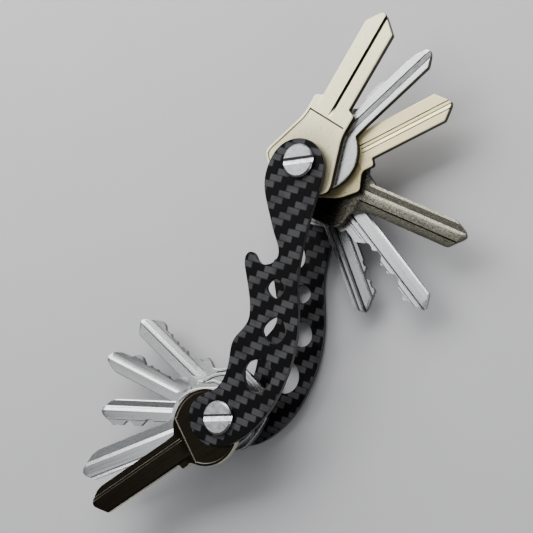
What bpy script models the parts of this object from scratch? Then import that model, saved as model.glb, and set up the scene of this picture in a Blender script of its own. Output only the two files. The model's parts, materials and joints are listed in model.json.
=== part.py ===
"""Key organiser: two carbon plates on two slotted screw posts, with eleven keys fanned out of it.

Millimetres in the tables, metres in the scene. +Z is the face of the front plate, +Y runs from the
lower post to the upper one, and the origin is on the lower post's axis, on the rear head's flat face.
"""

import math

import bmesh
import bpy
from mathutils import Vector
from mathutils.geometry import tessellate_polygon

MM = 0.001

POST_SPACING = 76.0
PLATE_THICKNESS = 1.6
HEAD_RADIUS = 4.75
HEAD_THICKNESS = 1.3
HEAD_CHAMFER = 0.35
SLOT_WIDTH = 2.0
SLOT_DEPTH = 0.85
SLOT_TURN = 21.0
BARREL_RADIUS = 2.5
BARREL_BORE = 1.8
SCREW_RADIUS = 1.5
PIVOT_HOLE = 2.8
WASHER_RADIUS = 4.9
WASHER_THICKNESS = 0.6
KEY_THICKNESS = 2.0
LAYER_PITCH = 2.15
LAYER_COUNT = 6
FACE_GAP = 0.1

REAR_PLATE_Z = HEAD_THICKNESS + FACE_GAP
REAR_WASHER_Z = REAR_PLATE_Z + PLATE_THICKNESS + FACE_GAP
LAST_LAYER_Z = REAR_WASHER_Z + WASHER_THICKNESS + FACE_GAP
FRONT_WASHER_Z = LAST_LAYER_Z + (LAYER_COUNT - 1) * LAYER_PITCH + KEY_THICKNESS + FACE_GAP
FRONT_PLATE_Z = FRONT_WASHER_Z + WASHER_THICKNESS + FACE_GAP
FRONT_HEAD_Z = FRONT_PLATE_Z + PLATE_THICKNESS + FACE_GAP
BARREL_TOP_Z = FRONT_HEAD_Z - 0.35
BARREL_BORE_FLOOR_Z = 7.0
SCREW_END_Z = 7.6

ROUND_SEGMENTS = 40
SMALL_SEGMENTS = 28
UPPER = (0.0, POST_SPACING)
LOWER = (0.0, 0.0)

# The plate's outline, counter-clockwise from its foot. The spline through these points is smooth.
PLATE_OUTLINE = [
    (0.6, -8.6), (5.2, -6.4), (8.7, -3.1), (11.7, 1.0), (14.0, 5.6), (15.6, 10.6), (16.5, 16.4),
    (16.7, 22.4), (16.1, 28.4), (14.5, 34.4), (12.4, 40.0), (10.5, 45.0), (9.5, 50.0), (9.0, 55.0),
    (8.6, 61.0), (8.5, 67.0), (8.6, 72.0), (8.0, 76.4), (6.1, 79.8), (2.9, 81.9), (-0.6, 82.5),
    (-4.2, 81.6), (-7.3, 79.2), (-9.1, 75.6), (-9.6, 71.4), (-9.0, 67.3), (-7.0, 63.3), (-4.2, 59.2),
    (-1.0, 54.6), (1.5, 51.6), (2.5, 49.2), (2.0, 47.2), (0.4, 45.8), (-1.7, 45.2), (-3.5, 45.9),
    (-5.0, 47.4), (-6.7, 47.5), (-7.7, 46.1), (-7.3, 43.8), (-5.5, 40.7), (-2.9, 36.2), (-1.1, 32.2),
    (-0.5, 28.8), (-1.5, 26.0), (-3.0, 23.2), (-3.4, 20.5), (-2.8, 17.0), (-2.4, 13.8), (-2.6, 10.6),
    (-3.8, 7.6), (-6.4, 5.3), (-9.2, 2.6), (-10.3, -0.6), (-9.4, -4.0), (-7.0, -6.8), (-3.6, -8.3),
]
PLATE_CUTOUTS = [
    [(2.0, 39.4), (3.4, 37.9), (5.8, 37.3), (7.2, 38.5), (7.7, 40.3), (6.6, 42.0), (4.3, 42.4), (2.5, 41.4)],
    [(4.6, 28.4), (5.9, 26.2), (8.4, 25.1), (10.9, 25.8), (12.2, 28.1), (11.5, 30.6), (9.4, 32.4),
     (6.7, 31.8)],
    [(3.0, 15.6), (4.0, 12.8), (6.3, 10.8), (9.3, 10.8), (11.7, 12.9), (12.3, 15.8), (11.1, 18.6),
     (8.7, 20.1), (5.6, 19.3), (3.6, 17.9)],
]

# Bows as (distance from the hole along the blade, half width, corner radius), from the blade back.
SHIELD_BOW = [(19.0, 5.0, 0.4), (18.2, 7.2, 0.8), (11.8, 7.1, 6.0), (-3.4, 12.6, 2.6), (-8.2, 6.0, 6.0)]
FLARED_BOW = [(18.0, 4.4, 0.2), (17.8, 6.4, 0.8), (13.8, 6.4, 1.6), (11.3, 11.3, 1.2), (4.8, 10.5, 5.0),
              (-0.6, 7.6, 5.0), (-6.6, 5.6, 3.0)]
SQUARE_BOW = [(20.0, 4.2, 3.0), (16.6, 6.2, 1.0), (15.0, 11.8, 3.0), (-1.0, 11.8, 4.0), (-6.6, 6.4, 4.0)]
TAPERED_BOW = [(20.4, 6.2, 0.6), (6.8, 10.9, 1.4), (-2.0, 8.0, 5.0), (-6.8, 4.8, 3.0)]
SPURRED_BOW = [(20.4, 6.0, 0.4), (18.6, 6.0, 0.5), (16.5, 5.1, 0.8), (14.6, 6.2, 2.0), (9.6, 11.7, 3.0),
               (-3.0, 11.4, 4.0), (-7.2, 6.0, 4.0)]
EGG_BOW = [(19.6, 4.2, 0.5), (15.2, 9.4, 4.0), (9.0, 10.8, 6.0), (-0.5, 7.8, 6.0), (-6.2, 5.0, 3.5)]

# A round bow is (distance of its middle from the hole, sideways offset from the blade, radius).
LARGE_ROUND_BOW = (6.8, -0.7, 11.2)
ROUND_BOW = (5.7, -0.45, 10.7)
WIDE_ROUND_BOW = (4.8, -0.4, 11.4)

STEEL = ((0.62, 0.63, 0.65), 0.32, 1.0)
CHAMPAGNE = ((0.72, 0.66, 0.50), 0.28, 1.0)
DARK_NICKEL = ((0.24, 0.23, 0.20), 0.35, 1.0)
BRIGHT_STEEL = ((0.78, 0.79, 0.81), 0.22, 1.0)
CARBON = ((0.02, 0.02, 0.022), 0.22, 0.0)

# Keys from front to rear. The angle is from +X, and middle is the blade's centre line beside the
# hole. Cuts and shoulders are on side 1, the left of the blade seen from the front, or on side -1.
# Cuts are (start of the root, end of the root, depth), with both distances from the hole. Chamfers
# are the lengths of the tip's left and right slopes. Grooves are (offset from the middle, width).
KEYS = [
    {"name": "upper_key_1", "post": UPPER, "layer": 1, "angle": 75.4, "bow": SHIELD_BOW,
     "middle": 0.7, "half": 4.85, "tip": 47.0, "chamfers": (4.3, 4.3), "apex": 0.9, "material": CHAMPAGNE,
     "grooves": [(-0.47, 0.75)]},
    {"name": "upper_key_2", "post": UPPER, "layer": 2, "angle": 56.8, "bow": ROUND_BOW,
     "middle": -0.6, "half": 3.35, "tip": 46.8, "chamfers": (2.6, 3.4), "apex": 0.0, "material": STEEL,
     "grooves": [(-0.77, 1.3)], "shoulders": [1], "cut_side": 1,
     "cuts": [(21.4, 24.4, 1.1), (32.0, 39.6, 0.85), (40.6, 43.2, 1.05)]},
    {"name": "upper_key_3", "post": UPPER, "layer": 3, "angle": 40.1, "bow": FLARED_BOW,
     "middle": -2.3, "half": 4.2, "tip": 44.7, "chamfers": (3.6, 3.6), "apex": -0.2, "material": CHAMPAGNE,
     "grooves": [(0.15, 0.9), (-1.65, 0.4)]},
    {"name": "upper_key_4", "post": UPPER, "layer": 4, "angle": -6.2, "bow": SQUARE_BOW,
     "middle": -1.95, "half": 3.9, "tip": 51.3, "chamfers": (4.2, 4.2), "apex": 0.7, "material": DARK_NICKEL,
     "grooves": [(1.3, 0.8), (-1.6, 0.9)]},
    {"name": "upper_key_5", "post": UPPER, "layer": 5, "angle": -32.4, "bow": ROUND_BOW,
     "middle": -0.45, "half": 3.95, "tip": 53.3, "chamfers": (2.6, 2.6), "apex": 0.5, "material": STEEL,
     "grooves": [(0.05, 0.6)], "shoulders": [-1], "cut_side": -1,
     "cuts": [(28.0, 29.4, 2.9), (31.7, 33.1, 3.7), (35.9, 37.3, 2.4), (40.2, 41.6, 3.6),
              (44.3, 45.7, 2.0), (48.6, 50.0, 2.2)]},
    {"name": "upper_key_6", "post": UPPER, "layer": 6, "angle": -49.2, "bow": ROUND_BOW,
     "middle": -1.2, "half": 3.8, "tip": 44.2, "chamfers": (4.4, 2.9), "apex": -1.2, "material": STEEL,
     "grooves": [(-0.85, 0.8), (2.55, 0.7)], "shoulders": [1], "cut_side": 1,
     "cuts": [(30.6, 31.8, 0.4), (34.0, 35.0, 1.45), (37.0, 38.4, 0.5)]},
    {"name": "lower_key_1", "post": LOWER, "layer": 1, "angle": 230.2, "bow": LARGE_ROUND_BOW,
     "middle": -0.1, "half": 4.1, "tip": 53.1, "chamfers": (4.0, 4.0), "apex": -0.6, "material": DARK_NICKEL,
     "grooves": [(-1.4, 1.0), (1.5, 1.0)], "shoulders": [1]},
    {"name": "lower_key_2", "post": LOWER, "layer": 2, "angle": 218.4, "bow": EGG_BOW,
     "middle": -1.4, "half": 4.1, "tip": 54.6, "chamfers": (3.6, 6.0), "apex": 0.7, "material": STEEL,
     "grooves": [(-1.15, 1.2)]},
    {"name": "lower_key_3", "post": LOWER, "layer": 3, "angle": 197.6, "bow": TAPERED_BOW,
     "middle": -0.1, "half": 3.95, "tip": 47.1, "chamfers": (4.6, 4.6), "apex": -0.2, "material": STEEL,
     "grooves": [(-1.5, 1.0)], "cut_side": 1,
     "cuts": [(24.4, 25.6, 0.6), (28.0, 29.9, 2.0), (36.0, 37.3, 1.5), (40.4, 42.0, 0.2)]},
    {"name": "lower_key_4", "post": LOWER, "layer": 4, "angle": 176.5, "bow": WIDE_ROUND_BOW,
     "middle": 0.45, "half": 4.0, "tip": 50.4, "chamfers": (4.2, 3.6), "apex": 0.6, "material": STEEL,
     "grooves": [(0.9, 1.1)], "shoulders": [-1], "cut_side": -1,
     "cuts": [(24.6, 26.2, 2.1), (27.2, 31.0, 1.75), (31.8, 33.6, 1.5), (34.8, 36.0, 1.7),
              (41.7, 46.6, 1.5)]},
    {"name": "lower_key_5", "post": LOWER, "layer": 5, "angle": 159.9, "bow": SPURRED_BOW,
     "middle": -0.3, "half": 4.1, "tip": 46.6, "chamfers": (2.6, 6.0), "apex": 0.45, "material": STEEL,
     "grooves": [(0.35, 1.1), (-1.75, 0.9)], "cut_side": -1,
     "cuts": [(24.2, 26.2, 1.95), (27.8, 29.0, 1.45), (30.0, 31.0, 1.9), (32.4, 34.2, 1.5),
              (35.6, 37.2, 1.15)]},
]
SHOULDER_X = 20.0
SHOULDER_STEP = 1.7
CUT_SLOPE = 0.9
GROOVE_DEPTH = 0.45
GROOVE_TAPER = 0.2
REAR_GROOVE_OFFSET = 1.7
REAR_GROOVE_WIDTH = 1.0


def material(name, look):
    """One Principled BSDF material of the given colour, roughness and metallic value."""
    colour, roughness, metallic = look
    made = bpy.data.materials.new(name)
    made.use_nodes = True
    shader = made.node_tree.nodes["Principled BSDF"]
    shader.inputs["Base Color"].default_value = (*colour, 1.0)
    shader.inputs["Roughness"].default_value = roughness
    shader.inputs["Metallic"].default_value = metallic
    return made


def add_object(name, verts, faces, look=None):
    """An object from vertices in millimetres. Without a look it is a hidden cutter."""
    mesh = bpy.data.meshes.new(name)
    mesh.from_pydata([Vector(v) * MM for v in verts], [], faces)
    shell = bmesh.new()
    shell.from_mesh(mesh)
    bmesh.ops.recalc_face_normals(shell, faces=shell.faces)
    shell.to_mesh(mesh)
    shell.free()
    obj = bpy.data.objects.new(name, mesh)
    bpy.context.scene.collection.objects.link(obj)
    if look is None:
        obj.hide_render = True
        obj.display_type = "WIRE"
    else:
        mesh.materials.append(material(name + "_material", look))
    return obj


def prism(loops, low, high):
    """Vertices and faces of a flat plate. The first loop is its outline, the others are holes."""
    flat = [p for loop in loops for p in loop]
    count = len(flat)
    verts = [(x, y, low) for x, y in flat] + [(x, y, high) for x, y in flat]
    faces = []
    for a, b, c in tessellate_polygon([[Vector((x, y, 0.0)) for x, y in loop] for loop in loops]):
        faces.append((a + count, b + count, c + count))
        faces.append((c, b, a))
    start = 0
    for loop in loops:
        for i in range(len(loop)):
            a = start + i
            b = start + (i + 1) % len(loop)
            faces.append((a, b, b + count, a + count))
        start += len(loop)
    return verts, faces


def lathe(profile, segments):
    """Vertices and faces of a profile of (radius, height) turned about Z. Radius 0 closes it."""
    verts = []
    rings = []
    for radius, height in profile:
        if radius == 0.0:
            rings.append([len(verts)])
            verts.append((0.0, 0.0, height))
            continue
        rings.append(list(range(len(verts), len(verts) + segments)))
        for i in range(segments):
            turn = 2.0 * math.pi * i / segments
            verts.append((radius * math.cos(turn), radius * math.sin(turn), height))
    faces = []
    closed = profile[0][0] > 0.0
    pairs = list(zip(rings, rings[1:] + rings[:1])) if closed else list(zip(rings, rings[1:]))
    for lower, upper in pairs:
        for i in range(segments):
            j = (i + 1) % segments
            if len(lower) == 1:
                faces.append((lower[0], upper[j], upper[i]))
            elif len(upper) == 1:
                faces.append((lower[i], lower[j], upper[0]))
            else:
                faces.append((lower[i], lower[j], upper[j], upper[i]))
    return verts, faces


def circle(radius, segments, x=0.0, y=0.0):
    turns = [2.0 * math.pi * i / segments for i in range(segments)]
    return [(x + radius * math.cos(t), y + radius * math.sin(t)) for t in turns]


def smooth_loop(points, steps):
    """A closed Catmull-Rom spline through the points."""
    out = []
    count = len(points)
    for i in range(count):
        p0, p1, p2, p3 = (Vector(points[(i + k) % count]) for k in (-1, 0, 1, 2))
        for step in range(steps):
            t = step / steps
            spot = 0.5 * (
                2.0 * p1
                + (p2 - p0) * t
                + (2.0 * p0 - 5.0 * p1 + 4.0 * p2 - p3) * t * t
                + (3.0 * p1 - p0 - 3.0 * p2 + p3) * t * t * t
            )
            out.append((spot.x, spot.y))
    return out


def rounded(corners, turn_step=30.0):
    """An open chain of (x, y, radius) corners with each corner replaced by its arc."""
    out = []
    for i, (x, y, radius) in enumerate(corners):
        here = Vector((x, y))
        if radius == 0.0 or i in (0, len(corners) - 1):
            out.append((x, y))
            continue
        back = (Vector(corners[i - 1][:2]) - here).normalized()
        ahead = (Vector(corners[i + 1][:2]) - here).normalized()
        opening = back.angle(ahead)
        reach = radius / math.tan(opening / 2.0)
        middle = here + (back + ahead).normalized() * (radius / math.sin(opening / 2.0))
        start = here + back * reach - middle
        end = here + ahead * reach - middle
        turn = start.angle_signed(end)
        count = max(1, round(abs(math.degrees(turn)) / turn_step))
        for k in range(count + 1):
            spot = middle + start.slerp(end, k / count) * radius
            out.append((spot.x, spot.y))
    return out


def cut_edge(cuts, start, stop):
    """Points (x, depth) along a blade edge from start to stop, with a flat-rooted notch per cut."""
    points = [(start, 0.0)]
    last_x = start
    last_depth = 0.0
    for root_start, root_end, depth in cuts:
        meet = (last_depth - depth + CUT_SLOPE * (last_x + root_start)) / (2.0 * CUT_SLOPE)
        peak = last_depth - CUT_SLOPE * (meet - last_x)
        if peak > 0.0:
            points.append((meet, peak))
        else:
            if last_depth > 0.0:
                points.append((last_x + last_depth / CUT_SLOPE, 0.0))
            points.append((root_start - depth / CUT_SLOPE, 0.0))
        points.append((root_start, depth))
        points.append((root_end, depth))
        last_x = root_end
        last_depth = depth
    if last_depth > 0.0 and last_x + last_depth / CUT_SLOPE < stop:
        points.append((last_x + last_depth / CUT_SLOPE, 0.0))
        points.append((stop, 0.0))
    return points


def blade_side(key, side):
    """One edge of a blade from its shoulder to its tip, as (x, y). Side is 1 for left, -1 for right."""
    start = SHOULDER_X
    if isinstance(key["bow"], list):
        start = key["bow"][0][0] + 0.3
    left, right = key["chamfers"]
    stop = key["tip"] - (left if side == 1 else right)
    edge = [(start, 0.0), (stop, 0.0)]
    if key.get("cut_side") == side:
        edge = cut_edge(key["cuts"], start, stop)
    return [(x, key["middle"] + side * (key["half"] - depth)) for x, depth in edge]


def bow_side(key, side):
    """One half of the bow, from the shoulder back to the far end."""
    middle = key["middle"]
    if isinstance(key["bow"], list):
        corners = [(x, middle + side * width, radius) for x, width, radius in key["bow"]]
        corners.append((corners[-1][0] - 0.4, middle, 0.0))
        return rounded(corners)
    ahead, offset, radius = key["bow"]
    width = key["half"]
    points = []
    if side in key["shoulders"]:
        width += SHOULDER_STEP
        points += [
            (SHOULDER_X - 0.5, middle + side * width),
            (SHOULDER_X - 2.6, middle + side * width),
            (SHOULDER_X - 3.2, middle + side * (width - 0.4)),
        ]
    first = math.asin((width + 0.2 - side * offset) / radius)
    arcs = 12
    for i in range(arcs + 1):
        turn = first + (math.pi - first) * i / arcs
        points.append((ahead + radius * math.cos(turn), middle + offset + side * radius * math.sin(turn)))
    return points


def key_outline(key):
    """The outline of a key about its hole, with the blade along +X."""
    tip = key["tip"]
    apex = key["middle"] + key["apex"]
    point = [(tip - 0.55, apex - 1.0), (tip, apex), (tip - 0.55, apex + 1.0)]
    return (
        bow_side(key, -1)[:-1][::-1]
        + blade_side(key, -1)
        + point
        + blade_side(key, 1)[::-1]
        + bow_side(key, 1)
    )


def cut_away(obj, cutter):
    cut = obj.modifiers.new(cutter.name, "BOOLEAN")
    cut.operation = "DIFFERENCE"
    cut.solver = "EXACT"
    cut.object = cutter


def groove_cutter(name, key, offset, width, face):
    """A bar with sloped sides that mills one groove in a blade. Face is 1 for the front, -1 for rear."""
    y = key["middle"] + offset
    low = KEY_THICKNESS / 2.0 - GROOVE_DEPTH
    high = KEY_THICKNESS / 2.0 + 0.3
    spread = GROOVE_TAPER * (high - low) / GROOVE_DEPTH
    section = [
        (y - width / 2.0, low), (y + width / 2.0, low),
        (y + width / 2.0 + spread, high), (y - width / 2.0 - spread, high),
    ]
    start = SHOULDER_X - 4.5
    end = key["tip"] + 2.0
    verts = [(x, y_at, face * z_at) for x in (start, end) for y_at, z_at in section]
    faces = [(3, 2, 1, 0), (4, 5, 6, 7)] + [(i, (i + 1) % 4, (i + 1) % 4 + 4, i + 4) for i in range(4)]
    if face < 0:
        faces = [f[::-1] for f in faces]
    return add_object(name, verts, faces)


def add_key(key):
    layer_z = LAST_LAYER_Z + (LAYER_COUNT - key["layer"]) * LAYER_PITCH + KEY_THICKNESS / 2.0
    half = KEY_THICKNESS / 2.0
    verts, faces = prism([key_outline(key), circle(PIVOT_HOLE, SMALL_SEGMENTS)], -half, half)
    obj = add_object(key["name"], verts, faces, key["material"])
    obj.location = Vector((*key["post"], layer_z)) * MM
    obj.rotation_euler.z = math.radians(key["angle"])
    mills = [(1, offset, width) for offset, width in key["grooves"]]
    mills.append((-1, -key.get("cut_side", 1) * REAR_GROOVE_OFFSET, REAR_GROOVE_WIDTH))
    for number, (face, offset, width) in enumerate(mills):
        cutter = groove_cutter(f"{key['name']}_groove_{number}", key, offset, width, face)
        cutter.parent = obj
        cut_away(obj, cutter)


def add_plate(name, low):
    loops = [smooth_loop(PLATE_OUTLINE, 2)]
    loops += [smooth_loop(cutout, 3) for cutout in PLATE_CUTOUTS]
    loops += [circle(PIVOT_HOLE, SMALL_SEGMENTS, *post) for post in (LOWER, UPPER)]
    add_object(name, *prism(loops, low, low + PLATE_THICKNESS), CARBON)


def add_screw(name, post):
    """The front screw: a flat slotted head and a shank that runs down inside the barrel."""
    top = FRONT_HEAD_Z + HEAD_THICKNESS
    profile = [
        (0.0, SCREW_END_Z),
        (SCREW_RADIUS - 0.3, SCREW_END_Z),
        (SCREW_RADIUS, SCREW_END_Z + 0.3),
        (SCREW_RADIUS, FRONT_HEAD_Z),
        (HEAD_RADIUS, FRONT_HEAD_Z),
        (HEAD_RADIUS, top - HEAD_CHAMFER),
        (HEAD_RADIUS - HEAD_CHAMFER, top),
        (0.0, top),
    ]
    obj = add_object(name, *lathe(profile, ROUND_SEGMENTS), BRIGHT_STEEL)
    obj.location = Vector((*post, 0.0)) * MM
    reach = HEAD_RADIUS + 1.0
    half = SLOT_WIDTH / 2.0
    corners = [(-reach, -half), (reach, -half), (reach, half), (-reach, half)]
    cutter = add_object(name + "_slot", *prism([corners], top - SLOT_DEPTH, top + 1.0))
    cutter.rotation_euler.z = math.radians(SLOT_TURN)
    cutter.parent = obj
    cut_away(obj, cutter)


def add_barrel(name, post):
    """The rear post: a plain flat head and the tube that the keys turn on."""
    profile = [
        (0.0, 0.0),
        (HEAD_RADIUS - HEAD_CHAMFER, 0.0),
        (HEAD_RADIUS, HEAD_CHAMFER),
        (HEAD_RADIUS, HEAD_THICKNESS),
        (BARREL_RADIUS, HEAD_THICKNESS),
        (BARREL_RADIUS, BARREL_TOP_Z),
        (BARREL_BORE, BARREL_TOP_Z),
        (BARREL_BORE, BARREL_BORE_FLOOR_Z),
        (0.0, BARREL_BORE_FLOOR_Z),
    ]
    obj = add_object(name, *lathe(profile, ROUND_SEGMENTS), BRIGHT_STEEL)
    obj.location = Vector((*post, 0.0)) * MM


def add_ring(name, post, low, high, look):
    profile = [(PIVOT_HOLE, low), (WASHER_RADIUS, low), (WASHER_RADIUS, high), (PIVOT_HOLE, high)]
    obj = add_object(name, *lathe(profile, ROUND_SEGMENTS), look)
    obj.location = Vector((*post, 0.0)) * MM


def shade_round_pieces():
    for obj in bpy.data.objects:
        if obj.type == "MESH" and ("screw" in obj.name or "barrel" in obj.name or "washer" in obj.name):
            for face in obj.data.polygons:
                face.use_smooth = abs(face.normal.z) < 0.5


for old in list(bpy.data.objects):
    bpy.data.objects.remove(old)

add_plate("front_plate", FRONT_PLATE_Z)
add_plate("rear_plate", REAR_PLATE_Z)
for end, post in (("upper", UPPER), ("lower", LOWER)):
    add_screw(f"{end}_screw", post)
    add_barrel(f"{end}_barrel", post)
    add_ring(f"{end}_front_washer", post, FRONT_WASHER_Z, FRONT_WASHER_Z + WASHER_THICKNESS, BRIGHT_STEEL)
    add_ring(f"{end}_rear_washer", post, REAR_WASHER_Z, REAR_WASHER_Z + WASHER_THICKNESS, BRIGHT_STEEL)
add_ring("lower_spacer", LOWER, LAST_LAYER_Z, LAST_LAYER_Z + KEY_THICKNESS, STEEL)
for key in KEYS:
    add_key(key)
shade_round_pieces()
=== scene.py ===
"""The looks of the key organiser, in metres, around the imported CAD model.

Every CAD node is stood for by a finer piece. The outline of a plate or a key is read from the
node's own mesh and then rounded, bevelled and milled. Round pieces are turned profiles.
Lengths in the tables are millimetres. A key's own frame has its hole at the origin and +X along
its blade, so that +Y is the left of the blade seen from the front.
"""

import json
import math

import bmesh
import bpy
from mathutils import Matrix, Vector
from mathutils.geometry import tessellate_polygon


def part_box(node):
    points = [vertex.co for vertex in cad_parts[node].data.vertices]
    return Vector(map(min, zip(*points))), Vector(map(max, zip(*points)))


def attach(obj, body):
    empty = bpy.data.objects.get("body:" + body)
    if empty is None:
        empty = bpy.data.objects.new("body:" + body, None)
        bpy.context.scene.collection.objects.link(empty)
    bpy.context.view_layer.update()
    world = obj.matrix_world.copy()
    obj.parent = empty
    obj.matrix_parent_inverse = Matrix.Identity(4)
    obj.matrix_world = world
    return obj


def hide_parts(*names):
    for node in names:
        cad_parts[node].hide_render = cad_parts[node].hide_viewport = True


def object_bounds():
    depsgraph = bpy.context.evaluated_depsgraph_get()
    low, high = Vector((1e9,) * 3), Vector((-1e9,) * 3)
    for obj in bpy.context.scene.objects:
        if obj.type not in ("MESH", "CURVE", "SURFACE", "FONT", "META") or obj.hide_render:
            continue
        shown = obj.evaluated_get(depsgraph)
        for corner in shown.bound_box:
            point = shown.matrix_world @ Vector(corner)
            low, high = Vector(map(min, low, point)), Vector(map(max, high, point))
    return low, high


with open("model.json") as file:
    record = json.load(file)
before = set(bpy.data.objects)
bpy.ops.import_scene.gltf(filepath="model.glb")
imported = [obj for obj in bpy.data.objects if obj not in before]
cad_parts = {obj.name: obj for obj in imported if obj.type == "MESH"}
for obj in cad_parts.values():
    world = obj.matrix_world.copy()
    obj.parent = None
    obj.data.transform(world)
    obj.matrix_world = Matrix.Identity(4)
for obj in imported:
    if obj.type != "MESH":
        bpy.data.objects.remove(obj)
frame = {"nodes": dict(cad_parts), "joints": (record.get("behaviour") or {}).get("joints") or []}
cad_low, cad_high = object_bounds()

# KEY_FACE is half a key's thickness. LIFT keeps a cutter's faces off the faces that it cuts. Angles are
# in degrees: a corner of an outline that turns by less than STRAIGHT_TURN is dropped, one that turns by
# more than ARC_TURN is rounded by a given radius, and an edge sharper than SHARP_EDGE stays crisp.
MM = 0.001
WELD = 0.0001 * MM
KEY_FACE = 1.0
LIFT = 0.02
STRAIGHT_TURN = 0.7
ARC_TURN = 36.0
SHARP_EDGE = 24.0
SAME_SPOT = 0.01
NEARLY_PARALLEL = 0.05
LEAST_SIDE_LEFT = 0.05
CORNER_STEPS = 3
BEVEL_STEPS = 4
JOINTS = {joint["child"]: joint for joint in frame["joints"]}


# ---------------------------------------------------------------- outlines and solids


def section(node, height):
    """The closed loops, in millimetres, where a level plane cuts a node, longest first."""
    cut = bmesh.new()
    cut.from_mesh(frame["nodes"][node].data)
    bmesh.ops.remove_doubles(cut, verts=cut.verts, dist=WELD)
    bmesh.ops.bisect_plane(
        cut, geom=cut.verts[:] + cut.edges[:] + cut.faces[:], dist=WELD,
        plane_co=(0.0, 0.0, height), plane_no=(0.0, 0.0, 1.0), clear_inner=True, clear_outer=True,
    )
    loops = []
    seen = set()
    for first in cut.verts:
        if first in seen:
            continue
        loop = []
        here = first
        while here is not None:
            seen.add(here)
            loop.append((here.co / MM).to_2d())
            ahead = [e.other_vert(here) for e in here.link_edges]
            here = next((v for v in ahead if v not in seen), None)
        loops.append(without_straight_points(loop))
    cut.free()
    loops.sort(key=loop_length, reverse=True)
    return loops


def loop_length(loop):
    return sum((a - b).length for a, b in zip(loop, loop[1:] + loop[:1]))


def turn_at(loop, i):
    """The angle in degrees by which the loop turns at its point i."""
    back = loop[i] - loop[i - 1]
    ahead = loop[(i + 1) % len(loop)] - loop[i]
    return math.degrees(abs(back.angle_signed(ahead)))


def without_straight_points(loop):
    return [loop[i] for i in range(len(loop)) if turn_at(loop, i) > STRAIGHT_TURN]


def area(loop):
    return 0.5 * sum(a.x * b.y - b.x * a.y for a, b in zip(loop, loop[1:] + loop[:1]))


def softened(loop, radius):
    """The loop with rounded corners. A slight turn is part of an arc, and is rounded all the way."""
    out = []
    for i, here in enumerate(loop):
        back = loop[i - 1] - here
        ahead = loop[(i + 1) % len(loop)] - here
        reach = 0.5 * min(back.length, ahead.length)
        if turn_at(loop, i) > ARC_TURN:
            reach = min(radius, 0.9 * reach)
        start = here + back.normalized() * reach
        end = here + ahead.normalized() * reach
        for k in range(CORNER_STEPS + 1):
            t = k / CORNER_STEPS
            spot = start * (1 - t) ** 2 + here * 2 * t * (1 - t) + end * t**2
            if not out or (spot - out[-1]).length > SAME_SPOT:
                out.append(spot)
    if (out[0] - out[-1]).length < SAME_SPOT:
        out.pop()
    return out


def inset(loop, distances):
    """The loop with each side moved to its left. Side i runs from point i to the next one."""
    out = []
    for i, here in enumerate(loop):
        back = (here - loop[i - 1]).normalized()
        ahead = (loop[(i + 1) % len(loop)] - here).normalized()
        back_normal = Vector((-back.y, back.x))
        ahead_normal = Vector((-ahead.y, ahead.x))
        near, far = distances[i - 1], distances[i]
        cross = back.cross(ahead)
        if abs(cross) < NEARLY_PARALLEL:
            out.append(here + (back_normal * near + ahead_normal * far) / 2)
            continue
        from_back = here + back_normal * near
        from_ahead = here + ahead_normal * far
        slide = (from_ahead - from_back).cross(ahead) / cross
        out.append(from_back + back * slide)
    return out


def oriented(loops):
    """The outline counter-clockwise and the holes clockwise, so that material is on the left."""
    out = []
    for i, loop in enumerate(loops):
        ccw = area(loop) > 0
        out.append(loop if ccw == (i == 0) else loop[::-1])
    return out


def bevelled_prism(loops, low, high, bevel):
    """Vertices and faces of a flat solid with rounded edges. The first loop is the outline."""
    loops = oriented(loops)
    rings = []
    for k in range(BEVEL_STEPS + 1):
        turn = math.pi / 2 * k / BEVEL_STEPS
        rings.append((bevel * (1 - math.sin(turn)), low + bevel * (1 - math.cos(turn))))
    rings += [(shift, low + high - z) for shift, z in reversed(rings)]
    verts = []
    for shift, z in rings:
        for loop in loops:
            verts += [(p.x, p.y, z) for p in inset(loop, [shift] * len(loop))]
    count = sum(len(loop) for loop in loops)
    faces = []
    start = 0
    for loop in loops:
        for i in range(len(loop)):
            a = start + i
            b = start + (i + 1) % len(loop)
            for ring in range(len(rings) - 1):
                low_start = ring * count
                faces.append((a + low_start, b + low_start, b + low_start + count, a + low_start + count))
        start += len(loop)
    top = (len(rings) - 1) * count
    flat = [[Vector((x, y, 0.0)) for x, y, _ in verts[:count]][s:e] for s, e in spans(loops)]
    for a, b, c in tessellate_polygon(flat):
        faces.append((a + top, b + top, c + top))
        faces.append((c, b, a))
    return verts, faces


def spans(loops):
    start = 0
    for loop in loops:
        yield start, start + len(loop)
        start += len(loop)


def at_height(loop, height):
    return [(p.x, p.y, height) for p in loop]


def loft(rings):
    """Vertices and faces of a solid through rings of as many points each, closed at both ends."""
    count = len(rings[0])
    verts = [point for ring in rings for point in ring]
    faces = [tuple(range(count))[::-1], tuple(range(len(verts) - count, len(verts)))]
    for start in range(0, len(verts) - count, count):
        for i in range(count):
            a = start + i
            b = start + (i + 1) % count
            faces.append((a, b, b + count, a + count))
    return verts, faces


def turned(profile, segments):
    """Vertices and faces of a profile of (radius, height) turned about Z. Radius 0 closes it."""
    verts = []
    rings = []
    for radius, height in profile:
        if radius == 0.0:
            rings.append([len(verts)] * segments)
            verts.append((0.0, 0.0, height))
            continue
        rings.append(list(range(len(verts), len(verts) + segments)))
        for i in range(segments):
            turn = 2.0 * math.pi * i / segments
            verts.append((radius * math.cos(turn), radius * math.sin(turn), height))
    pairs = list(zip(rings, rings[1:]))
    if profile[0][0] > 0.0:
        pairs.append((rings[-1], rings[0]))
    faces = []
    for lower, upper in pairs:
        for i in range(segments):
            j = (i + 1) % segments
            corners = dict.fromkeys((lower[i], lower[j], upper[j], upper[i]))
            faces.append(tuple(corners))
    return verts, faces


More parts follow.
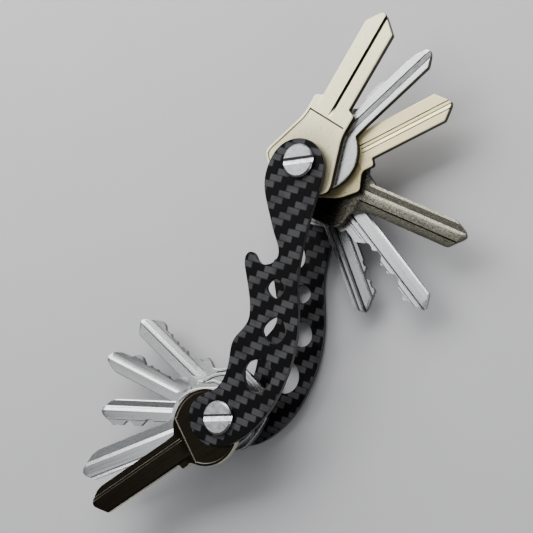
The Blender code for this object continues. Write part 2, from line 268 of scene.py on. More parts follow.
def mesh_object(name, verts, faces):
    mesh = bpy.data.meshes.new(name)
    mesh.from_pydata([Vector(v) * MM for v in verts], [], faces)
    shell = bmesh.new()
    shell.from_mesh(mesh)
    bmesh.ops.recalc_face_normals(shell, faces=shell.faces)
    shell.to_mesh(mesh)
    shell.free()
    obj = bpy.data.objects.new(name, mesh)
    bpy.context.scene.collection.objects.link(obj)
    return obj


def cut_away(obj, cutters):
    """Cuts the cutters out of the object's mesh for good."""
    for cutter in cutters:
        cut = obj.modifiers.new(cutter.name, "BOOLEAN")
        cut.operation = "DIFFERENCE"
        cut.solver = "EXACT"
        cut.object = cutter
    graph = bpy.context.evaluated_depsgraph_get()
    cut_mesh = bpy.data.meshes.new_from_object(obj.evaluated_get(graph))
    cut_mesh.name = obj.name
    obj.modifiers.clear()
    obj.data = cut_mesh
    for cutter in cutters:
        bpy.data.objects.remove(cutter)


def shade(obj, *looks):
    """Smooth bevels and arcs, crisp edges, and flat faces that stay flat."""
    obj.data.materials.clear()
    for look in looks:
        obj.data.materials.append(look)
    obj.data.shade_smooth()
    obj.data.set_sharp_from_angle(angle=math.radians(SHARP_EDGE))
    weighted = obj.modifiers.new("weighted_normals", "WEIGHTED_NORMAL")
    weighted.keep_sharp = True
    weighted.weight = 100


# ---------------------------------------------------------------- materials


class Nodes:
    """A short way to write a material's nodes."""

    def __init__(self, name):
        self.material = bpy.data.materials.new(name)
        self.material.use_nodes = True
        self.tree = self.material.node_tree
        self.shader = self.tree.nodes["Principled BSDF"]

    def add(self, kind, inputs=None, **settings):
        node = self.tree.nodes.new(kind)
        for key, value in settings.items():
            setattr(node, key, value)
        for key, value in (inputs or {}).items():
            self.put(node, key, value)
        return node

    def put(self, node, key, value):
        socket = node.inputs[key]
        if isinstance(value, bpy.types.NodeSocket):
            self.tree.links.new(value, socket)
        else:
            socket.default_value = value

    def math(self, operation, *values):
        node = self.add("ShaderNodeMath", operation=operation)
        for i, value in enumerate(values):
            self.put(node, i, value)
        return node.outputs[0]

    def mix(self, factor, low, high):
        node = self.add("ShaderNodeMix", data_type="RGBA")
        self.put(node, "Factor", factor)
        self.put(node, 6, low)
        self.put(node, 7, high)
        return node.outputs[2]

    def noise(self, vector, scale, detail=2.0, roughness=0.5):
        node = self.add("ShaderNodeTexNoise", {"Vector": vector, "Scale": scale, "Detail": detail})
        self.put(node, "Roughness", roughness)
        return node.outputs["Fac"]

    def span(self, value, low, high, to_low=0.0, to_high=1.0):
        """The value carried over from one range to another, and held at its ends."""
        ends = {"From Min": low, "From Max": high, "To Min": to_low, "To Max": to_high}
        return self.add("ShaderNodeMapRange", {"Value": value, **ends}).outputs[0]

    def place(self):
        return self.add("ShaderNodeTexCoord").outputs["Object"]

    def stretched(self, vector, scale):
        return self.add("ShaderNodeMapping", {"Vector": vector, "Scale": scale}).outputs[0]

    def bump(self, height, strength, distance):
        node = self.add("ShaderNodeBump", {"Height": height, "Strength": strength, "Distance": distance})
        return node.outputs[0]


def rgb(red, green, blue):
    return (red, green, blue, 1.0)


# Noise scales are per metre, along X, Y and Z where there are three.
BLACK = rgb(0.0, 0.0, 0.0)
FINE_RELIEF = 0.02 * MM
LONG_STROKES = (60.0, 2600.0, 2600.0)
FINE_STROKES = (500.0, 6000.0, 6000.0)
BLOTCH_SCALE = 110.0
MOST_STAIN = 0.3
GRIT_SCALE = 3600.0
# The next two depths below a key's face, in millimetres, are where the painted shade at the bottom of
# grooves begins and where it is full.
GROOVE_SHADE_STARTS = 0.42
GROOVE_SHADE_IS_FULL = 0.68
SHADOW_BLUR = 7.0


def metal(name, colour, roughness, stain, grain=0.1, speckle=0.06, groove_shade=0.6, metallic=1.0,
          shadow=0.0, shadow_from=0.0):
    """Plated and brushed metal: fine strokes along the blade, soft blotches, and painted shade in its
    grooves.

    Both faces of a key lie KEY_FACE from its middle plane, which holds the origin. Grain, speckle,
    groove and shadow say how much of the colour is lost: in the strokes, in fine specks, as painted
    shade at the bottom of grooves and across the middle of the side walls, and as painted shade
    round the hole, where the plates shade the bow, out to about shadow_from.
    """
    made = Nodes(name)
    place = made.place()
    strokes = made.noise(made.stretched(place, LONG_STROKES), 1.0, 3.0)
    fine = made.noise(made.stretched(place, FINE_STROKES), 1.0, 2.0)
    blotches = made.noise(place, BLOTCH_SCALE, 3.0)
    worn = made.math("MULTIPLY", made.span(blotches, 0.42, 0.72), MOST_STAIN)
    tint = made.mix(worn, rgb(*colour), rgb(*stain))
    lines = made.span(strokes, 0.35, 0.7, 1.0 - grain, 1.0)
    grit = made.span(made.noise(place, GRIT_SCALE, 2.0), 0.38, 0.6, 1.0 - speckle, 1.0)
    tone = made.math("MULTIPLY", lines, grit)
    # Painted shade: the deeper a point lies below the key's faces, the darker it is, at groove floors and
    # across the middle of the side walls.
    from_middle = made.math("ABSOLUTE", made.add("ShaderNodeSeparateXYZ", {0: place}).outputs["Z"])
    deep = (KEY_FACE - GROOVE_SHADE_IS_FULL) * MM
    shallow = (KEY_FACE - GROOVE_SHADE_STARTS) * MM
    groove_shading = made.span(from_middle, deep, shallow, 1.0 - groove_shade, 1.0)
    tone = made.math("MULTIPLY", tone, groove_shading)
    # Painted shade round the hole: darker towards the post, where the plates and the post shade the bow,
    # fading out about shadow_from away.
    if shadow:
        apart = made.add("ShaderNodeVectorMath", {0: place}, operation="LENGTH").outputs["Value"]
        dark_end = (shadow_from - SHADOW_BLUR) * MM
        light_end = (shadow_from + SHADOW_BLUR) * MM
        lit = made.span(apart, dark_end, light_end, 1.0 - shadow, 1.0)
        tone = made.math("MULTIPLY", tone, lit)
    made.put(made.shader, "Base Color", made.mix(tone, BLACK, tint))
    made.put(made.shader, "Roughness", made.span(fine, 0.3, 0.7, roughness - 0.07, roughness + 0.09))
    made.put(made.shader, "Metallic", metallic)
    height = made.math("ADD", made.math("MULTIPLY", strokes, 0.6), made.math("MULTIPLY", fine, 0.4))
    made.put(made.shader, "Normal", made.bump(height, 0.2, FINE_RELIEF))
    return made.material


TURNING_PITCH = 0.16
CLOUD_SCALE = 700.0
SCRATCHES = (900.0, 5200.0, 900.0)
STEEL_CLOUD = rgb(0.08, 0.084, 0.095)


def turned_metal(name, colour, roughness):
    """Turned steel: fine rings about the piece's axis and a cloudy, slightly scratched face."""
    made = Nodes(name)
    place = made.place()
    parts = made.add("ShaderNodeSeparateXYZ", {0: place})
    squares = [made.math("MULTIPLY", parts.outputs[key], parts.outputs[key]) for key in ("X", "Y")]
    radius = made.math("SQRT", made.math("ADD", *squares))
    rings = made.math("SINE", made.math("MULTIPLY", radius, 2.0 * math.pi / (TURNING_PITCH * MM)))
    clouds = made.noise(place, CLOUD_SCALE, 4.0, 0.65)
    scratches = made.noise(made.stretched(place, SCRATCHES), 1.0, 3.0)
    tone = made.span(clouds, 0.32, 0.62, 0.45, 1.0)
    made.put(made.shader, "Base Color", made.mix(tone, STEEL_CLOUD, rgb(*colour)))
    made.put(made.shader, "Roughness", made.span(clouds, 0.3, 0.7, roughness + 0.12, roughness - 0.04))
    made.put(made.shader, "Metallic", 1.0)
    height = made.math("ADD", made.math("MULTIPLY", rings, 0.12), scratches)
    made.put(made.shader, "Normal", made.bump(height, 0.3, FINE_RELIEF))
    return made.material


# The light grey below is a painted sheen: real carbon is black all over and only catches the light along
# the tows that run one way. From the middle of each tow to its sides the colour fades to the gap colour,
# as painted shading of the tow's rounded back.
TOW_PAINTED_SHEEN = rgb(0.056, 0.056, 0.059)
TOW_SHEEN_GAP = rgb(0.002, 0.002, 0.0022)
TOW_DARK = rgb(0.003, 0.003, 0.0034)
TOW_DARK_GAP = rgb(0.0015, 0.0015, 0.0017)
WEAVE_RELIEF = 0.05 * MM
TOW_FIBRES = 22.0
FIBRE_STRETCH = 0.6
PATCH_SCALE = 0.45
PLIES = (120.0, 120.0, 7000.0)


def carbon(name, shift, turn, pitch):
    """Two by two twill: each tow passes over two and under two, one further on each row.

    The weave is shifted by millimetres and turned by degrees. Its pitch is a cell's width and height.
    The grey of the tows that run one way is a painted sheen, and each tow is painted lighter along
    its middle than at its sides, as painted shading of its rounded back.
    """
    made = Nodes(name)
    fit = {
        "Location": (shift[0] * MM, shift[1] * MM, 0.0),
        "Rotation": (0.0, 0.0, math.radians(turn)),
        "Scale": (pitch[0] * MM, pitch[1] * MM, MM),
    }
    fitted = made.add("ShaderNodeMapping", {"Vector": made.place(), **fit}, vector_type="TEXTURE")
    weave = fitted.outputs[0]
    cell = made.add("ShaderNodeSeparateXYZ", {0: weave})
    along = cell.outputs["X"]
    across = cell.outputs["Y"]
    step = made.math("SUBTRACT", made.math("FLOOR", along), made.math("FLOOR", across))
    phase = made.math("FLOORED_MODULO", step, 4.0)
    over = made.math("LESS_THAN", phase, 1.5)
    half = made.math("FLOORED_MODULO", phase, 2.0)
    along_part = made.math("FRACT", along)
    across_part = made.math("FRACT", across)
    float_along = made.math("MULTIPLY", made.math("ADD", half, along_part), 0.5)
    other_half = made.math("SUBTRACT", 1.0, half)
    float_across = made.math("MULTIPLY", made.math("ADD", other_half, across_part), 0.5)

    def crown(value, power):
        """1 along the middle of a tow, falling to 0 at its sides."""
        centred = made.math("ABSOLUTE", made.math("SUBTRACT", made.math("MULTIPLY", value, 2.0), 1.0))
        return made.math("SUBTRACT", 1.0, made.math("POWER", centred, power))

    light_height = made.math("MULTIPLY", crown(across_part, 8.0), crown(float_along, 12.0))
    dark_height = made.math("MULTIPLY", crown(along_part, 8.0), crown(float_across, 12.0))
    fine_across = (FIBRE_STRETCH, TOW_FIBRES, FIBRE_STRETCH)
    fine_along = (TOW_FIBRES, FIBRE_STRETCH, FIBRE_STRETCH)
    fibres_along = made.noise(made.stretched(weave, fine_across), 1.0, 3.0)
    fibres_across = made.noise(made.stretched(weave, fine_along), 1.0, 3.0)
    # Painted sheen: the tows that run one way are painted grey along their crowns, brighter or dimmer
    # from patch to patch, and the tows the other way stay near black.
    patches = made.span(made.noise(weave, PATCH_SCALE), 0.38, 0.62, 0.72, 1.2)
    sheen_tone = made.math("MULTIPLY", light_height, made.span(fibres_along, 0.25, 0.75, 0.7, 1.15))
    sheen_tone = made.math("MULTIPLY", sheen_tone, patches)
    dark_tone = made.math("MULTIPLY", dark_height, made.span(fibres_across, 0.25, 0.75, 0.5, 1.3))
    light = made.mix(sheen_tone, TOW_SHEEN_GAP, TOW_PAINTED_SHEEN)
    dark = made.mix(dark_tone, TOW_DARK_GAP, TOW_DARK)
    made.put(made.shader, "Base Color", made.mix(over, dark, light))
    made.put(made.shader, "Roughness", 0.42)
    made.put(made.shader, "Specular IOR Level", 0.04)
    made.put(made.shader, "Coat Weight", 0.05)
    made.put(made.shader, "Coat Roughness", 0.08)
    height = made.mix(over, dark_height, light_height)
    made.put(made.shader, "Normal", made.bump(height, 0.25, WEAVE_RELIEF))
    return made.material


def cut_carbon(name):
    """The sawn edge of a plate: satin black with the thin lines of its plies."""
    made = Nodes(name)
    place = made.place()
    plies = made.noise(made.stretched(place, PLIES), 1.0, 2.0)
    tone = made.mix(made.span(plies, 0.35, 0.65), rgb(0.006, 0.006, 0.007), rgb(0.035, 0.035, 0.037))
    made.put(made.shader, "Base Color", tone)
    made.put(made.shader, "Roughness", made.span(plies, 0.3, 0.7, 0.3, 0.48))
    made.put(made.shader, "Normal", made.bump(plies, 0.3, FINE_RELIEF))
    return made.material


SILVER = metal("silver_nickel", (0.47, 0.473, 0.48), 0.24, (0.38, 0.375, 0.36))
BRIGHT_SILVER = metal("bright_nickel", (0.80, 0.805, 0.82), 0.28, (0.68, 0.68, 0.68))
PALE_SILVER = metal("pale_nickel", (0.62, 0.625, 0.64), 0.26, (0.5, 0.5, 0.5))
GREY_SILVER = metal("grey_nickel", (0.43, 0.433, 0.44), 0.26, (0.34, 0.34, 0.34))
PALE_CHAMPAGNE = metal(
    "pale_champagne", (1.0, 0.92, 0.6), 0.32, (1.0, 0.86, 0.47), grain=0.04, speckle=0.04, groove_shade=0.97,
    metallic=0.4, shadow=0.8, shadow_from=8.0,
)
CHAMPAGNE = metal(
    "champagne", (0.94, 0.83, 0.47), 0.38, (0.86, 0.71, 0.33), grain=0.06, groove_shade=0.8,
    metallic=0.55, shadow=0.8, shadow_from=15.0,
)
DARK_NICKEL = metal(
    "dark_nickel", (0.25, 0.235, 0.19), 0.28, (0.15, 0.135, 0.10), grain=0.2, speckle=0.7, groove_shade=0.8,
    shadow=0.85, shadow_from=16.0,
)
BLACK_NICKEL = metal(
    "black_nickel", (0.02, 0.016, 0.011), 0.26, (0.012, 0.01, 0.007), grain=0.3, speckle=0.1,
)
BARE_BRASS = metal("bare_edge", (0.80, 0.75, 0.60), 0.36, (0.66, 0.59, 0.42), speckle=0.2, groove_shade=0.0)
# A near black for the side walls of the upper keys 1 to 4: painted shade, where their walls face away
# from the light.
PAINTED_SHADE_EDGE = metal("painted_shade_edge", (0.05, 0.042, 0.028), 0.34, (0.03, 0.025, 0.015), speckle=0.2, groove_shade=0.0)
TURNED_STEEL = turned_metal("turned_steel", (0.50, 0.505, 0.52), 0.24)
SLOT_SHADE = turned_metal("slot_shade", (0.16, 0.15, 0.14), 0.40)
BARREL_STEEL = turned_metal("barrel_steel", (0.60, 0.605, 0.62), 0.28)
WASHER_STEEL = turned_metal("washer_steel", (0.48, 0.485, 0.50), 0.34)
FRONT_CARBON = carbon("front_carbon", (-2.7, 0.04), 2.45, (2.06, 1.96))
REAR_CARBON = carbon("rear_carbon", (-6.62, -0.39), 3.4, (1.95, 1.94))
CARBON_EDGE = cut_carbon("carbon_edge")


# ---------------------------------------------------------------- plates

PLATE_BEVEL = 0.22
PLATE_CORNER = 0.4
PLATE_EDGE_LIMIT = 0.5


def add_plate(node, look):
    """A plate with rounded corners and edges. Its upright faces are sawn carbon."""
    low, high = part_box(node)
    loops = [softened(loop, PLATE_CORNER) for loop in section(node, (low.z + high.z) / 2)]
    obj = mesh_object(node + "_carbon", *bevelled_prism(loops, low.z / MM, high.z / MM, PLATE_BEVEL))
    shade(obj, look, CARBON_EDGE)
    for face in obj.data.polygons:
        face.material_index = int(abs(face.normal.z) < PLATE_EDGE_LIMIT)
    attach(obj, "body")
    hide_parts(node)


# ---------------------------------------------------------------- keys

# Each key by its node. Its blade points along "angle", in degrees from +X, and the blade's middle
# line passes the hole at "middle". "looks" are the faces and the edges. "front" is the profile of the
# blade's front face: (offset from the middle line, depth) from right to left. The cutter starts to
# bite at the first of the two run-out distances and is at full depth at the second. "step" is where
# the sunk panel of the bow ends, "slope" the width of the panel's sloped side and "scribe" the width of
# a line cut just inside the step. "tip_bevel" is how far the face drops at the tip. A face takes the
# edge look where its normal's Z is below "edge_limit".
# The near-black edge look of the upper keys 1 to 4 paints shade on their side walls.
KEYS = {
    "upper_key_1": {
        "angle": 75.4, "middle": 0.7,
        "looks": (PALE_CHAMPAGNE, PAINTED_SHADE_EDGE), "slot": "champagne_key",
        "front": [(-1.02, 0), (-0.98, 0.75), (-0.02, 0.75), (0.02, 0)],
        "run_out": (14.6, 19.0), "step": 14.2, "slope": 0.12, "scribe": 0.5, "tip_bevel": 0.0,
    },
    "upper_key_2": {
        "angle": 56.8, "middle": -0.85,
        "looks": (PALE_SILVER, PAINTED_SHADE_EDGE), "slot": "silver_keys",
        "front": [(-2.9, 0.02), (-1.45, 0.06), (-1.25, 0.75), (-1.05, 0.42), (0.2, 0.25), (0.3, 0.7),
                  (0.42, 0.02), (2.6, 0.08)],
        "run_out": (13.0, 15.5), "tip_bevel": 0.45,
    },
    "upper_key_3": {
        "angle": 40.1, "middle": -2.3,
        "looks": (CHAMPAGNE, PAINTED_SHADE_EDGE), "slot": "champagne_key_grooved",
        "front": [(-1.77, 0), (-1.62, 0.7), (-1.48, 0), (-0.57, 0.14), (-0.42, 0.75), (-0.26, 0.14),
                  (0.5, 0.14), (0.66, 0.7), (0.8, 0)],
        "run_out": (15.5, 17.5), "step": 14.0, "slope": 0.3, "tip_bevel": 0.0,
    },
    "upper_key_4": {
        "angle": -6.2, "middle": -1.95,
        "looks": (DARK_NICKEL, PAINTED_SHADE_EDGE), "slot": "brushed_dark_key",
        "front": [(-3.6, 0.6), (-1.78, 0.2), (-1.6, 0.75), (-1.42, 0), (0.5, 0.04), (1.3, 0.3),
                  (1.5, 0.45), (3.2, 0.1), (3.9, 0.35)],
        "run_out": (17.0, 20.0), "step": 15.0, "slope": 0.3, "tip_bevel": 0.4,
    },
    "upper_key_5": {
        "angle": -32.4, "middle": -0.45,
        "looks": (BRIGHT_SILVER, BRIGHT_SILVER), "slot": "silver_keys",
        "front": [(-2.2, 0.45), (-1.95, 0.15), (-1.75, 0.15), (-1.5, 0.7), (-1.25, 0.05), (-0.35, 0.05),
                  (0.0, 0.8), (0.35, 0), (3.5, 0), (3.95, 0.3)],
        "run_out": (15.5, 18.0), "step": 14.5, "slope": 0.3, "tip_bevel": 0.4,
    },
    "upper_key_6": {
        "angle": -49.2, "middle": -0.85,
        "looks": (GREY_SILVER, GREY_SILVER), "slot": "silver_keys",
        "front": [(-3.3, 0.05), (-2.9, 0.7), (-2.5, 0.05), (-1.85, 0.05), (-1.3, 0.8), (-0.7, 0),
                  (1.5, 0.0), (1.8, 0.15), (2.15, 0.7), (2.5, 0.15)],
        "run_out": (15.5, 18.0), "step": 14.5, "slope": 0.3, "tip_bevel": 0.4,
    },
    "lower_key_1": {
        "angle": 230.2, "middle": -0.1,
        "looks": (BLACK_NICKEL, BARE_BRASS), "slot": "black_nickel_key",
        "front": [(-2.3, 0.35), (-2.1, 0.1), (-1.5, 0), (-1.35, 0.25), (2.3, 0.25), (2.8, 0), (3.6, 0),
                  (4.1, 0.3)],
        "run_out": (15.0, 18.0), "step": 14.6, "slope": 0.2, "tip_bevel": 0.35, "edge_limit": 0.8,
    },
    "lower_key_2": {
        "angle": 218.4, "middle": -1.15,
        "looks": (PALE_SILVER, PALE_SILVER), "slot": "silver_keys",
        "front": [(-4.4, 0.05), (-1.9, 0.48), (-0.8, 0.12), (-0.7, 0), (2.6, 0.0), (2.75, 0.5),
                  (2.95, 0.38), (3.85, 0.05)],
        "run_out": (15.5, 19.0), "step": 14.5, "slope": 0.3, "tip_bevel": 0.5,
    },
    "lower_key_3": {
        "angle": 197.6, "middle": -0.1,
        "looks": (SILVER, SILVER), "slot": "silver_keys",
        "front": [(-4.0, 0.3), (-3.6, 0.1), (-1.9, 0.46), (-1.5, 0.34), (-1.4, 0.4), (-0.5, 0.08),
                  (-0.4, 0), (2.1, 0.0), (2.3, 0.45)],
        "run_out": (15.5, 19.0), "step": 14.5, "slope": 0.3, "tip_bevel": 0.5,
    },
    "lower_key_4": {
        "angle": 176.5, "middle": 0.45,
        "looks": (SILVER, SILVER), "slot": "silver_keys",
        "front": [(-3.2, 0.15), (-1.0, 0.5), (0.1, 0.26), (0.2, 0.34), (0.95, 0.08), (1.0, 0), (3.8, 0),
                  (4.1, 0.2)],
        "run_out": (15.5, 19.0), "step": 14.5, "slope": 0.3, "tip_bevel": 0.5,
    },
    "lower_key_5": {
        "angle": 159.9, "middle": -0.65,
        "looks": (SILVER, SILVER), "slot": "silver_keys",
        "front": [(-2.1, 0.45), (-1.8, 0.55), (-0.3, 0.26), (-0.2, 0.32), (0.6, 0.06), (1.1, 0.0),
                  (1.25, 0.6), (1.4, 0.0), (4.4, 0.0)],
        "run_out": (16.0, 21.5), "step": 14.5, "slope": 0.3, "tip_bevel": 0.5,
    },
}
KEY_BEVEL = 0.26
KEY_CORNER = 0.35
EDGE_LIMIT = 0.5
CUTTER_HALF_WIDTH = 14.0
RUN_OUT_STEPS = 6
TIP_BEVEL_LENGTH = 1.8
TIP_OVERRUN = 0.6
CUTTER_HEADROOM = 1.0
BOW_RIM = 0.75
BOW_RECESS = 0.3
SCRIBE_DEPTH = 0.7
SCRIBE_HEADROOM = 1.5


def milling_cutter(name, key, profile, half, tip, face):
    """The solid that mills a blade's face, 1 for the front and -1 for the rear: its floor is the profile,
    which sinks in along a run-out arc and drops once more over the tip."""
    start, full = key["run_out"]
    stations = []
    for k in range(RUN_OUT_STEPS + 1):
        t = k / RUN_OUT_STEPS
        stations.append((start + (full - start) * t, 1 - (1 - t) ** 2, 0.0))
    stations.append((tip - TIP_BEVEL_LENGTH, 1.0, 0.0))
    overrun_drop = key["tip_bevel"] * (TIP_BEVEL_LENGTH + TIP_OVERRUN) / TIP_BEVEL_LENGTH
    stations.append((tip + TIP_OVERRUN, 1.0, overrun_drop))
    points = [(-CUTTER_HALF_WIDTH, profile[0][1])] + profile + [(CUTTER_HALF_WIDTH, profile[-1][1])]
    rings = []
    for x, share, drop in stations:
        ring = []
        for t, depth in points:
            sunk = share * (depth + LIFT) if depth > 0 else 0.0
            sunk = max(sunk, drop + LIFT if drop > 0 else 0.0)
            ring.append((x, key["middle"] + t, face * (half + LIFT - sunk)))
        for side in (1, -1):
            ring.append((x, key["middle"] + side * CUTTER_HALF_WIDTH, face * (half + CUTTER_HEADROOM)))
        rings.append(ring)
    return mesh_object(name, *loft(rings))


def rim_widths(loop):
    """The rim that each side of a panel leaves. Its last side is the step, which leaves none."""
    return [BOW_RIM] * (len(loop) - 1) + [0.0]


def fit_for_inset(loop, slope):
    """Merges the ends of each short side that would turn over as the loop shrinks."""
    while True:
        count = len(loop)
        moved = inset(loop, [rim + slope for rim in rim_widths(loop)])
        flipped = []
        for i in range(count - 1):
            side = loop[i + 1] - loop[i]
            if (moved[i + 1] - moved[i]).dot(side) <= LEAST_SIDE_LEFT * side.length_squared:
                flipped.append((side.length, i))
        if not flipped:
            return loop
        i = min(flipped)[1]
        if i == 0:
            merged = loop[0]
        elif i + 1 == count - 1:
            merged = loop[-1]
        else:
            merged = (loop[i] + loop[i + 1]) / 2
        loop = loop[:i] + [merged] + loop[i + 2:]


def bow_panel(outline, step, slope):
    """The bow's face inside its rim, up to the step where the blade begins: its floor and its brim."""
    first = next(i for i, p in enumerate(outline) if p.x < step and outline[i - 1].x >= step)
    chain = []
    for i in range(len(outline)):
        p = outline[(first + i) % len(outline)]
        if p.x >= step:
            break
        chain.append(p)
    loop = fit_for_inset([Vector((step, chain[0].y))] + chain + [Vector((step, chain[-1].y))], slope)
    rims = rim_widths(loop)
    return inset(loop, [rim + slope for rim in rims]), inset(loop, rims)


def add_key(node):
    """A key: its CAD outline with rounded edges, milled on both faces, with a sunk panel on its bow."""
    key = KEYS[node]
    low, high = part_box(node)
    post = Vector(JOINTS[node]["pos_m"]).to_2d()
    half = (high.z - low.z) / 2 / MM
    turn = Matrix.Rotation(math.radians(-key["angle"]), 2)
    loops = []
    for loop in section(node, (low.z + high.z) / 2):
        local = [turn @ (p - post / MM) for p in loop]
        loops.append(softened(local, KEY_CORNER))
    loops = oriented(loops)
    tip = max(p.x for p in loops[0])
    obj = mesh_object(node + "_plated", *bevelled_prism(loops, -half, half, KEY_BEVEL))
    front = key["front"]
    rear = [(-t, depth) for t, depth in reversed(front)]
    cutters = [
        milling_cutter(node + "_front_mill", key, front, half, tip, 1),
        milling_cutter(node + "_rear_mill", key, rear, half, tip, -1),
    ]
    if "step" in key:
        floor_loop, rim_loop = bow_panel(loops[0], key["step"], key["slope"])
        for side, name in ((1, "_front_panel"), (-1, "_rear_panel")):
            rings = [
                at_height(floor_loop, side * (half - BOW_RECESS)),
                at_height(rim_loop, side * (half + LIFT)),
                at_height(rim_loop, side * (half + CUTTER_HEADROOM)),
            ]
            cutters.append(mesh_object(node + name, *loft(rings)))
    if "scribe" in key:
        ends = [p.y for p in rim_loop if abs(p.x - key["step"]) < LIFT]
        far = key["step"] - LIFT
        near = far - key["scribe"]
        line = [Vector((near, max(ends))), Vector((near, min(ends))),
                Vector((far, min(ends))), Vector((far, max(ends)))]
        rings = [at_height(line, half - SCRIBE_DEPTH), at_height(line, half + SCRIBE_HEADROOM)]
        cutters.append(mesh_object(node + "_scribe", *loft(rings)))
    cut_away(obj, cutters)
    shade(obj, *key["looks"])
    for face in obj.data.polygons:
        face.material_index = int(abs(face.normal.z) < key.get("edge_limit", EDGE_LIMIT))
    obj.location = (post.x, post.y, (low.z + high.z) / 2)
    obj.rotation_euler.z = math.radians(key["angle"])
    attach(obj, node)
    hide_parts(node)


# ---------------------------------------------------------------- screws, barrels and washers

HEAD_RADIUS = 4.75
HEAD_CHAMFER = 0.35
HEAD_FLAT_RADIUS = HEAD_RADIUS - HEAD_CHAMFER - 0.1
HEAD_THICKNESS = 1.3
SLOT_TURN = 21.0
SLOT_WIDTH = 2.0
SLOT_DEPTH = 0.85
SLOT_VALLEY = 0.35
SLOT_LOW_SIDE = 0.5
SLOT_HIGH_SIDE = 0.35
SLOT_SHARE = 0.98
SHADED_SLOPE = 0.3
SCREW_RADIUS = 1.5
SCREW_TIP_CHAMFER = 0.3
BARREL_RADIUS = 2.5
BARREL_CHAMFER = 0.15
BARREL_BORE = 1.8
BARREL_BORE_CHAMFER = 0.1
BARREL_BORE_FLOOR = 7.0
RING_CHAMFER = 0.1
EDGE_ROUND = 0.08
SEGMENTS = 128


def axis_of(node):
    low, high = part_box(node)
    return (low.x + high.x) / 2, (low.y + high.y) / 2


def finish_turned(obj, node, slot, *looks):
    shade(obj, *looks)
    obj.location = (*axis_of(node), 0.0)
    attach(obj, "body")
    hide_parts(node)


def slot_cutter(name, top, turn):
    """The slot's floor is a shallow V: a wide gentle side and a narrow steep one."""
    across = [(-1.0, -SLOT_LOW_SIDE), (SLOT_VALLEY, -SLOT_DEPTH), (1.0, -SLOT_HIGH_SIDE)]
    across += [(1.0, CUTTER_HEADROOM), (-1.0, CUTTER_HEADROOM)]
    reach = HEAD_RADIUS + CUTTER_HEADROOM
    twist = Matrix.Rotation(math.radians(turn), 3, "Z")
    rings = []
    for x in (-reach, reach):
        rings.append([twist @ Vector((x, v * SLOT_WIDTH / 2, top + z)) for v, z in across])
    return mesh_object(name, *loft(rings))


def add_screw(node):
    """A slotted screw. The side of the slot that faces away from the light is darker."""
    low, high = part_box(node)
    bottom = low.z / MM
    top = high.z / MM
    under = top - HEAD_THICKNESS
    profile = [
        (0.0, bottom), (SCREW_RADIUS - SCREW_TIP_CHAMFER, bottom),
        (SCREW_RADIUS, bottom + SCREW_TIP_CHAMFER), (SCREW_RADIUS, under),
        (HEAD_RADIUS - EDGE_ROUND, under), (HEAD_RADIUS, under + EDGE_ROUND),
        (HEAD_RADIUS, top - HEAD_CHAMFER - EDGE_ROUND), (HEAD_RADIUS - EDGE_ROUND, top - HEAD_CHAMFER),
        (HEAD_RADIUS - HEAD_CHAMFER, top - EDGE_ROUND), (HEAD_FLAT_RADIUS, top), (0.0, top),
    ]
    obj = mesh_object(node + "_turned", *turned(profile, SEGMENTS))
    cut_away(obj, [slot_cutter(node + "_slot", top, SLOT_TURN)])
    finish_turned(obj, node, "screws", TURNED_STEEL, SLOT_SHADE)
    shaded_side = Matrix.Rotation(math.radians(SLOT_TURN), 3, "Z") @ Vector((0.0, -1.0, 0.0))
    for face in obj.data.polygons:
        inside = face.center.to_2d().length < HEAD_RADIUS * SLOT_SHARE * MM
        in_slot = inside and face.center.z > under * MM
        face.material_index = int(in_slot and face.normal.dot(shaded_side) > SHADED_SLOPE)


def add_barrel(node):
    """The rear half of a post: a flat head on the ground and a tube for the screw."""
    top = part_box(node)[1].z / MM
    profile = [
        (0.0, 0.0), (HEAD_FLAT_RADIUS, 0.0), (HEAD_RADIUS - HEAD_CHAMFER, EDGE_ROUND),
        (HEAD_RADIUS - EDGE_ROUND, HEAD_CHAMFER), (HEAD_RADIUS, HEAD_CHAMFER + EDGE_ROUND),
        (HEAD_RADIUS, HEAD_THICKNESS - EDGE_ROUND), (HEAD_RADIUS - EDGE_ROUND, HEAD_THICKNESS),
        (BARREL_RADIUS, HEAD_THICKNESS), (BARREL_RADIUS, top - BARREL_CHAMFER),
        (BARREL_RADIUS - BARREL_CHAMFER, top), (BARREL_BORE + BARREL_BORE_CHAMFER, top),
        (BARREL_BORE, top - BARREL_BORE_CHAMFER), (BARREL_BORE, BARREL_BORE_FLOOR),
        (0.0, BARREL_BORE_FLOOR),
    ]
    obj = mesh_object(node + "_turned", *turned(profile, SEGMENTS))
    finish_turned(obj, node, "barrels", BARREL_STEEL)


def add_ring(node, slot):
    """A washer or spacer, as wide as its CAD node and bored like it."""
    low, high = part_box(node)
    outer = (high.x - low.x) / 2 / MM
    loops = section(node, (low.z + high.z) / 2)
    centre = Vector(axis_of(node)) / MM
    inner = max((p - centre).length for p in loops[1])
    bottom = low.z / MM
    top = high.z / MM
    edge = RING_CHAMFER
    profile = [
        (inner, bottom + edge), (inner + edge, bottom), (outer - edge, bottom), (outer, bottom + edge),
        (outer, top - edge), (outer - edge, top), (inner + edge, top), (inner, top - edge),
    ]
    obj = mesh_object(node + "_turned", *turned(profile, SEGMENTS))
    finish_turned(obj, node, slot, WASHER_STEEL)


# ---------------------------------------------------------------- the object

add_plate("front_plate", FRONT_CARBON)
add_plate("rear_plate", REAR_CARBON)
for key_node in KEYS:
    add_key(key_node)
add_screw("upper_screw")
add_screw("lower_screw")
for end in ("upper", "lower"):
    add_barrel(end + "_barrel")
    add_ring(end + "_front_washer", "washers")
    add_ring(end + "_rear_washer", "washers")
add_ring("lower_spacer", "spacer")


# ---------------------------------------------------------------- studio


MIDDLE = (cad_low + cad_high) / 2
FLOOR_REACH = 3000.0
FLOOR_DROP = 0.02
CAMERA_PLACE = Vector((0.17683, 0.06249, 0.32052))
CAMERA_RIGHT = Vector((0.81576, 0.29834, -0.49551))
CAMERA_UP = Vector((-0.28186, 0.95315, 0.10985))


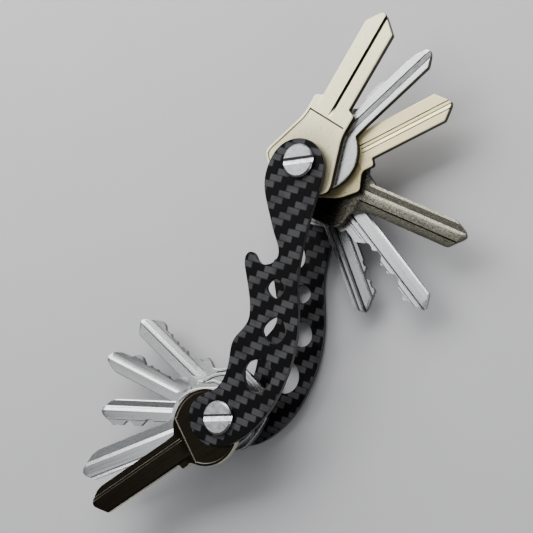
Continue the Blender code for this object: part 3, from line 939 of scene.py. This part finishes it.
def add_light(name, direction, distance, width, height, power):
    """A soft rectangular light that faces the middle of the object."""
    lamp = bpy.data.lights.new(name, "AREA")
    lamp.shape = "RECTANGLE"
    lamp.size = width
    lamp.size_y = height
    lamp.energy = power
    obj = bpy.data.objects.new(name, lamp)
    aim = Vector(direction).normalized()
    obj.location = MIDDLE + aim * distance
    obj.rotation_euler = aim.to_track_quat("Z", "Y").to_euler()
    bpy.context.scene.collection.objects.link(obj)


def add_floor():
    """A plain pale floor, a hair below the object, with faint clouds in its colour."""
    look = Nodes("pale_floor")
    clouds = look.noise(look.place(), 40.0, 3.0)
    look.put(look.shader, "Base Color", look.mix(clouds, rgb(0.50, 0.50, 0.51), rgb(0.53, 0.53, 0.54)))
    look.put(look.shader, "Roughness", 0.7)
    signs = ((-1, -1), (1, -1), (1, 1), (-1, 1))
    corners = [(x * FLOOR_REACH, y * FLOOR_REACH, -FLOOR_DROP) for x, y in signs]
    floor = mesh_object("floor", corners, [(0, 1, 2, 3)])
    floor.data.materials.append(look.material)


def add_camera():
    """The camera stands before the object, to its right, and looks down on it."""
    data = bpy.data.cameras.new("camera")
    data.sensor_width = 36.0
    data.lens = 83.92
    data.clip_start = 0.01
    data.clip_end = 20.0
    obj = bpy.data.objects.new("camera", data)
    turn = Matrix((CAMERA_RIGHT, CAMERA_UP, CAMERA_RIGHT.cross(CAMERA_UP))).transposed()
    obj.matrix_world = Matrix.Translation(CAMERA_PLACE) @ turn.to_4x4()
    bpy.context.scene.collection.objects.link(obj)
    bpy.context.scene.camera = obj


add_floor()

world = bpy.data.worlds.new("studio")
world.use_nodes = True
world.node_tree.nodes["Background"].inputs["Color"].default_value = (0.9, 0.92, 0.95, 1.0)
world.node_tree.nodes["Background"].inputs["Strength"].default_value = 0.34
bpy.context.scene.world = world

add_light("top_softbox", (-0.45, 0.62, 0.64), 0.62, 1.0, 0.45, 9.0)
add_light("front_panel", (-0.50, -0.06, 0.86), 0.7, 0.42, 0.42, 0.48)
add_light("side_strip", (0.85, -0.10, 0.35), 0.6, 0.25, 0.25, 0.5)

add_camera()
